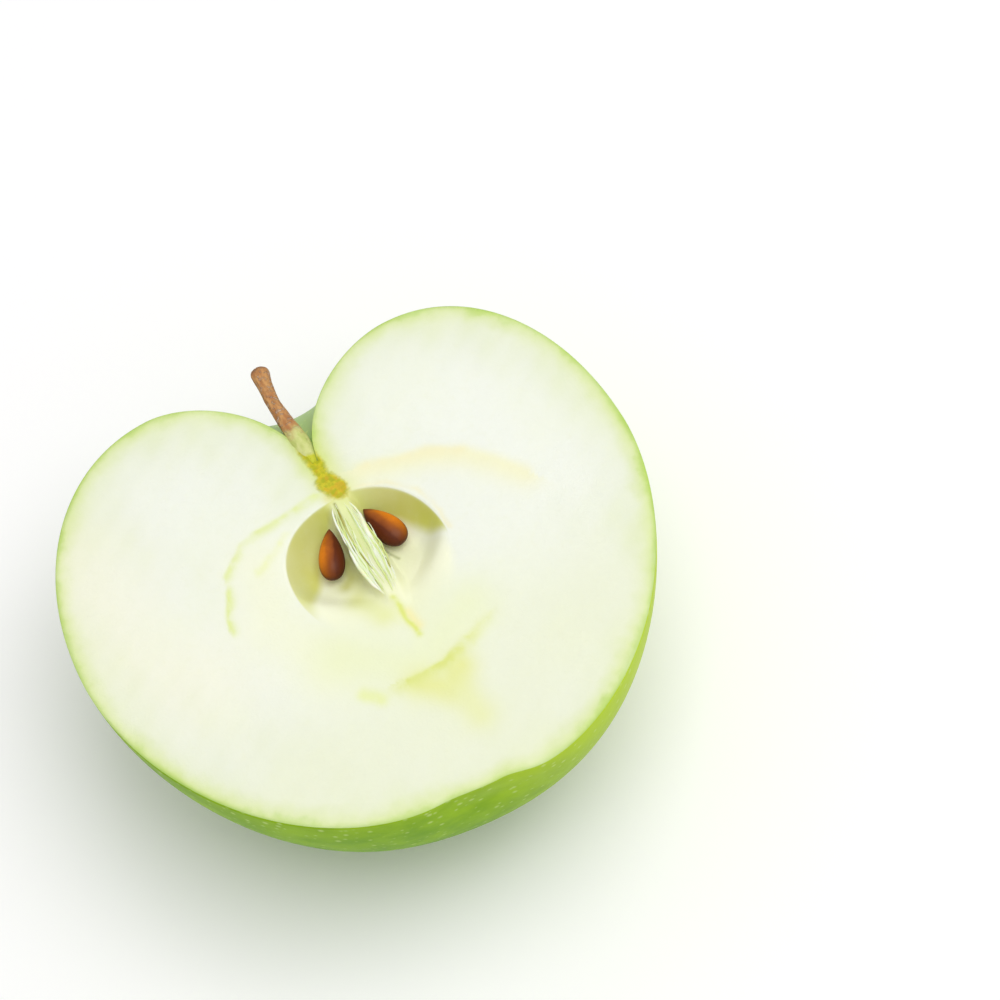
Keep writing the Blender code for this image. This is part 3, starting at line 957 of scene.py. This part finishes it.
def seed_shape():
    """A ball drawn out to a flattened drop, then turned and put in its place."""
    inputs = {"Length": NUMBER, "Width": NUMBER, "Thickness": NUMBER, "Place": PLACE, "Turn": NUMBER}
    shape = Shape("seed_shape", inputs)
    ball = shape.add("GeometryNodeMeshUVSphere", {}, {"Segments": 48, "Rings": 40, "Radius": 1.0})
    spot = shape.add("GeometryNodeInputPosition", {}, {})
    parts = shape.node("ShaderNodeSeparateXYZ", {}, {0: spot})
    across, through, along = [Value(shape, parts.outputs[axis]) for axis in range(3)]
    inputs = {"Value": (1 - along) * 0.5, "Min": 0.0004, "Max": 0.9996}
    share = shape.add("ShaderNodeClamp", {}, inputs)
    widest = SEED_POINT / (SEED_POINT + SEED_BLUNT)
    peak = widest**SEED_POINT * (1 - widest) ** SEED_BLUNT
    fullness = share ** (SEED_POINT - 0.5) * (1 - share) ** (SEED_BLUNT - 0.5) / (4 * peak)
    formed = shape.add(
        "ShaderNodeCombineXYZ",
        {},
        {
            "X": across * fullness * shape.given("Width"),
            "Y": along * 0.5 * shape.given("Length"),
            "Z": through * fullness * shape.given("Thickness") * -1,
        },
    )
    drop = shape.add("GeometryNodeSetPosition", {}, {"Geometry": ball, "Position": formed})
    heading = shape.add("ShaderNodeCombineXYZ", {}, {"Z": shape.given("Turn")})
    turned = {"Geometry": drop, "Translation": shape.given("Place"), "Rotation": heading}
    shape.finish(shape.add("GeometryNodeTransform", {}, turned))
    return shape


seed_nodes = seed_shape()
print("seed nodes", len(seed_nodes.tree.nodes))

# %% [markdown]
# The coat of a seed is a chestnut brown and finely mottled. Painted light makes it lighter along one
# side, and painted shade darkens its rims and its blunt end.
# A thin clear coat gives it a soft gleam.


# %% Seeds
SEEDS = {
    # place, turn, width, and the side that gets the painted light
    "seed_left": ((-4.3, -8.2, -2.3), -22, 3.7, -1),
    "seed_right": ((4.0, -8.0, -2.3), 20, 4.1, 1),
}


def make_seed_coat():
    """The seeds' material."""
    coat = Paint("seed_coat", IOR=1.5, Specular_IOR_Level=0.16, Coat_Roughness=0.2, Coat_IOR=1.4)
    grain = coat.noise(0.5, 3.0)
    clouds = coat.noise(1.8, 2.0) - 0.5
    across = coat.attribute("across")
    along = coat.attribute("along")
    # Painted light on one side of each seed, dark on the other as painted shade.
    painted_light = coat.between(across + clouds * 0.5, -0.35, 0.75)
    colour = coat.mix(painted_light, shade(94, 40, 14), shade(232, 132, 16))
    middle = coat.between(1 - across * across * 6 + clouds * 1.2, 0.2, 1.0)
    colour = coat.mix(middle * 0.4, colour, shade(168, 88, 34))
    # Painted shade towards the blunt end.
    blunt_end_shade = coat.between(along + clouds * 0.4, 0.15, 0.95)
    colour = coat.mix(blunt_end_shade * 0.6, colour, shade(84, 40, 22))
    tip = coat.between(along * -1 + clouds * 0.2, 0.62, 0.95)
    colour = coat.mix(tip * 0.7, colour, shade(168, 84, 50))
    # Painted shade along the seed's rims.
    rim = coat.attribute("rim")
    colour = coat.mix(rim * 0.85, colour, shade(66, 28, 12))
    colour = coat.mix(grain * 0.25, colour, shade(110, 52, 24))
    coat.feed("Base Color", colour)
    coat.feed("Roughness", 0.38 + grain * 0.14)
    coat.feed("Coat Weight", 0.02 + painted_light * 0.08)
    coat.bump(grain, 0.03)
    return coat.material


seed_material = make_seed_coat()


def make_seed(node, place, turn, width, painted_light_side):
    """One seed, with the values that its material reads."""
    source = add_object("seed_source", bpy.data.meshes.new("seed_source"))
    settings = {"Length": SEED_LENGTH * MM, "Width": width * MM, "Thickness": SEED_THICKNESS * MM}
    settings |= {"Place": from_knot(place).tolist(), "Turn": math.radians(turn), "Material": seed_material}
    seed = seed_nodes.apply(source, node + "_coat", settings)
    x, y, z = places_of(seed.data, place)
    angle = math.radians(turn)
    along = (x * math.sin(angle) - y * math.cos(angle)) * 2 / SEED_LENGTH
    across = (x * math.cos(angle) + y * math.sin(angle)) * 2 / width
    # Across the seed, turned so that its painted light lies on the given side.
    store(seed.data, "across", across * painted_light_side)
    store(seed.data, "along", along)
    # Nearness to the seed's rim, for the painted shade there.
    store(seed.data, "rim", smooth(1 - np.abs(z) / 0.85))
    return seed


seeds = {node: make_seed(node, *features) for node, features in SEEDS.items()}
for node, seed in seeds.items():
    print(seed.name, len(seed.data.vertices), "points")

# %% [markdown]
# ## Stem and fibres
# The stem is woody, thickest where it leaves its cavity and again at its knobbly end. Between the
# chambers run pale papery strands. The stem and the broader strands follow a path with a changing
# radius, and have an uneven surface. So one Geometry Nodes tree makes them: it sweeps a ring along
# each curve and pushes the surface in and out with noise.

# %% Sweep in Geometry Nodes


def sweep_shape():
    """A ring swept along every curve, with its radius from the curve and a noisy surface."""
    inputs = {"Sides": WHOLE, "Noise Size": NUMBER, "Noise Depth": NUMBER, "Stretch": PLACE}
    shape = Shape("noisy_sweep", inputs)
    ring = {"Resolution": shape.given("Sides"), "Radius": 1.0}
    ring = shape.add("GeometryNodeCurvePrimitiveCircle", {}, ring)
    radius = shape.add("GeometryNodeInputRadius", {}, {})
    source = shape.given("Geometry")
    tube = {"Curve": source, "Profile Curve": ring, "Scale": radius, "Fill Caps": True}
    tube = shape.add("GeometryNodeCurveToMesh", {}, tube)
    spot = shape.add("GeometryNodeInputPosition", {}, {})
    settings = {"operation": "MULTIPLY"}
    stretched = shape.add("ShaderNodeVectorMath", settings, {0: spot, 1: shape.given("Stretch")})
    bumps = {"Vector": stretched, "Scale": 1 / shape.given("Noise Size"), "Detail": 3.0}
    bumps = shape.add("ShaderNodeTexNoise", {}, bumps)
    push = (bumps - 0.5) * shape.given("Noise Depth") * 2
    normal = shape.add("GeometryNodeInputNormal", {}, {})
    offset = shape.add("ShaderNodeVectorMath", {"operation": "SCALE"}, {0: normal, "Scale": push})
    shape.finish(shape.add("GeometryNodeSetPosition", {}, {"Geometry": tube, "Offset": offset}))
    return shape


sweep_nodes = sweep_shape()
print("sweep nodes", len(sweep_nodes.tree.nodes))

# %% Smooth paths
PATH_STEPS = 12


def fine_path(path):
    """More points on a smooth curve through a path's points."""
    path = np.array(path, float)
    padded = np.concatenate([[2 * path[0] - path[1]], path, [2 * path[-1] - path[-2]]])
    points = []
    for before, start, end, after in zip(padded, padded[1:], padded[2:], padded[3:]):
        for part in np.arange(PATH_STEPS) / PATH_STEPS:
            slope = end - before
            bend = 2 * before - 5 * start + 4 * end - after
            twist = 3 * start - before - 3 * end + after
            points.append(start + (slope * part + bend * part**2 + twist * part**3) / 2)
    points.append(path[-1])
    return np.array(points)


def path_object(paths):
    """A curve object with one smooth spline for each path of (x, y, z, radius) in millimetres."""
    curve = bpy.data.curves.new("paths", "CURVE")
    curve.dimensions = "3D"
    for path in paths:
        points = fine_path(path)
        spline = curve.splines.new("POLY")
        spline.points.add(len(points) - 1)
        for point, (x, y, z, radius) in zip(spline.points, points):
            point.co = (*from_knot((x, y, z)), 1)
            point.radius = radius * MM
    return add_object("paths", curve)


# %% [markdown]
# The stem's bark is reddish brown with grey scurf, and it turns green where it grows out of the
# fruit. The knife slit its foot open, which shows as the golden wedge that is painted on the cut.

# %% Stem
STEM_PATH = [
    # x, y, z and radius from the foot to the knob
    (-0.2, 3.9, -1.9, 0.6),
    (-0.25, 5.2, -1.35, 1.1),
    (-0.3, 7.0, -1.0, 1.32),
    (-0.45, 9.2, -0.7, 1.42),
    (-0.6, 11.2, -0.55, 1.26),
    (-0.8, 13.6, -0.5, 1.08),
    (-0.9, 16.6, -0.5, 0.98),
    (-0.8, 19.0, -0.5, 1.08),
    (-0.6, 20.7, -0.5, 1.28),
    (-0.45, 21.6, -0.5, 1.34),
    (-0.35, 22.15, -0.5, 1.12),
    (-0.3, 22.4, -0.5, 0.5),
]
STEM_SIDES = 40


def make_bark():
    """The stem's material."""
    bark = Paint("stem_bark", IOR=1.45, Specular_IOR_Level=0.2)
    grain = bark.between(bark.noise(0.7, 4.0, stretch=(1, 0.35, 1)), 0.35, 0.68)
    colour = bark.mix(grain, shade(178, 122, 76), shade(206, 154, 98))
    scurf = bark.between(bark.noise(0.6, 4.0), 0.53, 0.66)
    colour = bark.mix(scurf * 0.55, colour, shade(206, 184, 168))
    dark = bark.between(bark.noise(0.5, 3.0), 0.58, 0.72)
    colour = bark.mix(dark * 0.35, colour, shade(112, 80, 60))
    edges = bark.noise(1.1, 4.0) - 0.5
    foot = bark.attribute("foot")
    green = bark.mix(grain, shade(212, 216, 142), shade(192, 202, 116))
    green = bark.mix(dark * 0.2, green, shade(160, 158, 84))
    colour = bark.mix(bark.between(foot + edges * 1.2, 0.05, 0.95), colour, green)
    root = bark.attribute("root")
    gold = bark.mix(dark, shade(202, 204, 60), shade(180, 180, 36))
    colour = bark.mix(bark.between(root + edges * 0.8, 0.25, 0.7), colour, gold)
    top = bark.attribute("knob")
    colour = bark.mix(bark.between(top + edges * 0.6, 0.3, 0.8) * 0.5, colour, shade(112, 82, 66))
    bark.feed("Base Color", colour)
    bark.feed("Roughness", 0.7 + scurf * 0.15)
    ridges = grain + scurf * 1.2 + bark.noise(0.25, 3.0) * 0.6
    bark.bump(ridges * (1 - foot * 0.7), 0.12)
    return bark.material


def make_stem():
    """The stem, with the values that its bark reads."""
    settings = {"Sides": STEM_SIDES, "Noise Size": 1.4 * MM, "Noise Depth": 0.16 * MM}
    settings |= {"Stretch": (1, 0.5, 1), "Material": make_bark()}
    stem = sweep_nodes.apply(path_object([STEM_PATH]), "stem_bark", settings)
    _, height, _ = places_of(stem.data, (0, 0, 0))
    store(stem.data, "root", 1 - smooth((height - 4.8) / 2.4))
    store(stem.data, "foot", 1 - smooth((height - 8.2) / 4.6))
    store(stem.data, "knob", smooth((height - 21.0) / 1.2))
    return stem


stem = make_stem()
print("stem", len(stem.data.vertices), "points")

# %% [markdown]
# Between the chambers the knife tore the papery walls into shreds. The few broad ones and some brown
# threads are drawn as paths. The many fine ones between them follow a rule instead: a straight line
# is copied, and each copy gets its own start, length and place across the column from random numbers
# with a fixed seed.

# %% Fibres
BROAD_SHREDS = [
    # x, y, z and radius from the knot towards the base
    [(-0.8, -2.6, -0.1, 0.03), (-1.6, -4.2, -0.1, 0.14), (-1.9, -7.4, -0.1, 0.16), (-2.0, -9.8, -0.2, 0.03)],
    [(1.2, -3.0, -0.1, 0.03), (1.7, -5.6, -0.1, 0.22), (1.4, -9.0, 0.0, 0.34), (1.8, -12.6, -0.1, 0.05)],
    [(-1.9, -9, -0.1, 0.03), (-2.1, -12.4, -0.2, 0.3), (-1.7, -15.8, -0.1, 0.26), (-0.8, -18.9, -0.1, 0.03)],
    [(1.8, -13.0, -0.1, 0.03), (1.9, -14.9, -0.1, 0.1), (1.6, -17.0, -0.1, 0.1), (0.5, -19.6, -0.1, 0.03)],
]
BROWN_THREADS = [
    [(-0.6, -2.6, 0.05, 0.03), (-0.8, -5.2, 0.12, 0.17), (-1.0, -8.2, 0.1, 0.13), (-0.8, -11.5, 0.05, 0.03)],
    [(-1.1, -9.6, 0.05, 0.03), (-0.9, -12.0, 0.1, 0.1), (-0.6, -14.4, 0.05, 0.03)],
    [(1.4, -12.6, 0.05, 0.03), (1.7, -14.0, 0.1, 0.11), (1.7, -15.4, 0.05, 0.03)],
]
SHRED_SIDES = 12
COLUMN_LENGTH, COLUMN_HALF_WIDTH = 17.0, 2.2
COLUMN_TOP = (0.15, -2.2, 0.0)
FIBRE_STEPS, FIBRE_SIDES = 26, 8
THINNEST_FIBRE, FIBRE_LIFT = 0.01, 0.09
BUNDLES = {
    # how many fibres, the seed of their random numbers, and their greatest radius
    "white_fibres": (26, 4, 0.13),
    "green_fibres": (20, 9, 0.15),
}
print("shreds", len(BROAD_SHREDS), "threads", len(BROWN_THREADS), "bundles", len(BUNDLES))


# %% Bundle of fibres in Geometry Nodes
def fibre_shape():
    """A bundle of fine fibres down the core's column, each with its own place, start and length."""
    inputs = {"Count": WHOLE, "Seed": WHOLE, "Radius": NUMBER, "Lift": NUMBER}
    inputs |= {"Length": NUMBER, "Half Width": NUMBER, "Place": PLACE}
    shape = Shape("core_fibres", inputs)
    line = shape.add("GeometryNodeCurvePrimitiveLine", {}, {"Start": (0, 0, 0), "End": (0, -1, 0)})
    line = shape.add("GeometryNodeResampleCurve", {}, {"Curve": line, "Count": FIBRE_STEPS})
    inputs = {"Geometry": line, "Amount": shape.given("Count")}
    copies = shape.node("GeometryNodeDuplicateElements", {"domain": "SPLINE"}, inputs)
    number = Value(shape, copies.outputs["Duplicate Index"])
    along = shape.add("GeometryNodeSplineParameter", {}, {}, "Factor")

    def chance(low, high, which):
        """A random number that is the same all along one fibre."""
        seed = shape.given("Seed") + which
        inputs = {2: low, 3: high, "ID": number, "Seed": seed}
        return shape.add("FunctionNodeRandomValue", {"data_type": "FLOAT"}, inputs, 1)

    start = chance(0.0, 0.55, 1)
    share = start + along * (1 - start) * chance(0.35, 1.0, 2)
    across = chance(-1.0, 1.0, 3)
    middle = shape.math("SINE", share * math.pi, 0.0)
    inputs = {"X": across * 6, "Y": share * 3, "Z": shape.given("Seed")}
    spot = shape.add("ShaderNodeCombineXYZ", {}, inputs)
    wave = shape.add("ShaderNodeTexNoise", {}, {"Vector": spot, "Scale": 1.3, "Detail": 2.0}) - 0.5
    width = shape.given("Half Width") * (middle * 0.55 + 0.45)
    inputs = {
        "X": (across + wave * 0.5) * width,
        "Y": share * shape.given("Length") * -1,
        "Z": (chance(-0.6, 1.0, 4) + wave * 2) * shape.given("Lift"),
    }
    bent = shape.add("ShaderNodeCombineXYZ", {}, inputs)
    settings = {"operation": "ADD"}
    bent = shape.add("ShaderNodeVectorMath", settings, {0: bent, 1: shape.given("Place")})
    curves = {"Geometry": Value(shape, copies.outputs["Geometry"]), "Position": bent}
    curves = shape.add("GeometryNodeSetPosition", {}, curves)
    thickness = (along * (1 - along) * 4) ** 0.5 * chance(0.5, 1.0, 5) * shape.given("Radius")
    ring = shape.add("GeometryNodeCurvePrimitiveCircle", {}, {"Resolution": FIBRE_SIDES, "Radius": 1.0})
    radius = thickness + THINNEST_FIBRE * MM
    tube = {"Curve": curves, "Profile Curve": ring, "Scale": radius, "Fill Caps": True}
    shape.finish(shape.add("GeometryNodeCurveToMesh", {}, tube))
    return shape


# %% [markdown]
# A strand is thin enough for light to shine through it, and its colour changes along its length.
# White and green strands lie mixed in the column, and a few brown threads lie on top.


# %% Strands and bundles
def make_strand_colour(name, pale, other, dark_share):
    """A translucent strand that changes between two colours along its length."""
    strand = Paint(name, Subsurface_Weight=0.15, Subsurface_Scale=0.001, Specular_IOR_Level=0.3)
    tint = strand.between(strand.noise(1.5, 3.0, stretch=(1, 0.35, 1)), 0.4, 0.62)
    colour = strand.mix(tint, shade(*pale), shade(*other))
    dark = strand.between(strand.noise(0.8, 3.0, stretch=(1, 0.25, 1)), 0.6, 0.72)
    colour = strand.mix(dark * dark_share, colour, shade(160, 164, 84))
    strand.feed("Base Color", colour)
    strand.feed("Roughness", 0.45 + tint * 0.15)
    return strand.material


def make_bundle(name, material):
    """One bundle of fine fibres."""
    count, seed, radius = BUNDLES[name]
    source = add_object("fibre_source", bpy.data.meshes.new("fibre_source"))
    settings = {"Count": count, "Seed": seed, "Radius": radius * MM, "Lift": FIBRE_LIFT * MM}
    settings |= {"Length": COLUMN_LENGTH * MM, "Half Width": COLUMN_HALF_WIDTH * MM}
    settings |= {"Place": from_knot(COLUMN_TOP).tolist(), "Material": material}
    return fibre_nodes.apply(source, name, settings)


fibre_nodes = fibre_shape()
white_strand = make_strand_colour("white_strand", (248, 248, 230), (240, 244, 200), 0.15)
green_strand = make_strand_colour("green_strand", (230, 237, 170), (216, 226, 134), 0.4)
brown_strand = make_strand_colour("brown_strand", (158, 154, 62), (196, 198, 120), 0.3)
settings = {"Sides": SHRED_SIDES, "Noise Size": 0.8 * MM, "Noise Depth": 0.16 * MM}
settings |= {"Stretch": (1, 0.4, 1), "Material": white_strand}
fibres = [
    sweep_nodes.apply(path_object(BROAD_SHREDS), "broad_shreds", settings),
    sweep_nodes.apply(path_object(BROWN_THREADS), "brown_threads", settings | {"Material": brown_strand}),
    make_bundle("white_fibres", white_strand),
    make_bundle("green_fibres", green_strand),
]
for piece in fibres:
    print(piece.name, len(piece.data.vertices), "points")

# %% [markdown]
# ## Onto the frame
# Every piece rides on the model's one body and takes the place of its node where it has one.

# %% Frame calls
for piece in [half, stem, *fibres, *seeds.values()]:
    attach(piece, "root")
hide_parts("apple_half")
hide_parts("stem")
for node, seed in seeds.items():
    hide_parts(node)

# %% [markdown]
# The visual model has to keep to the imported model's size, so both boxes are written down.

# %% Size and end
boxes = {"cad": [list(corner) for corner in cad_box], "visual": [list(corner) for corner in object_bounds()]}
for name, box in boxes.items():
    print(name, "box in mm", [[round(value / MM, 1) for value in corner] for corner in box])
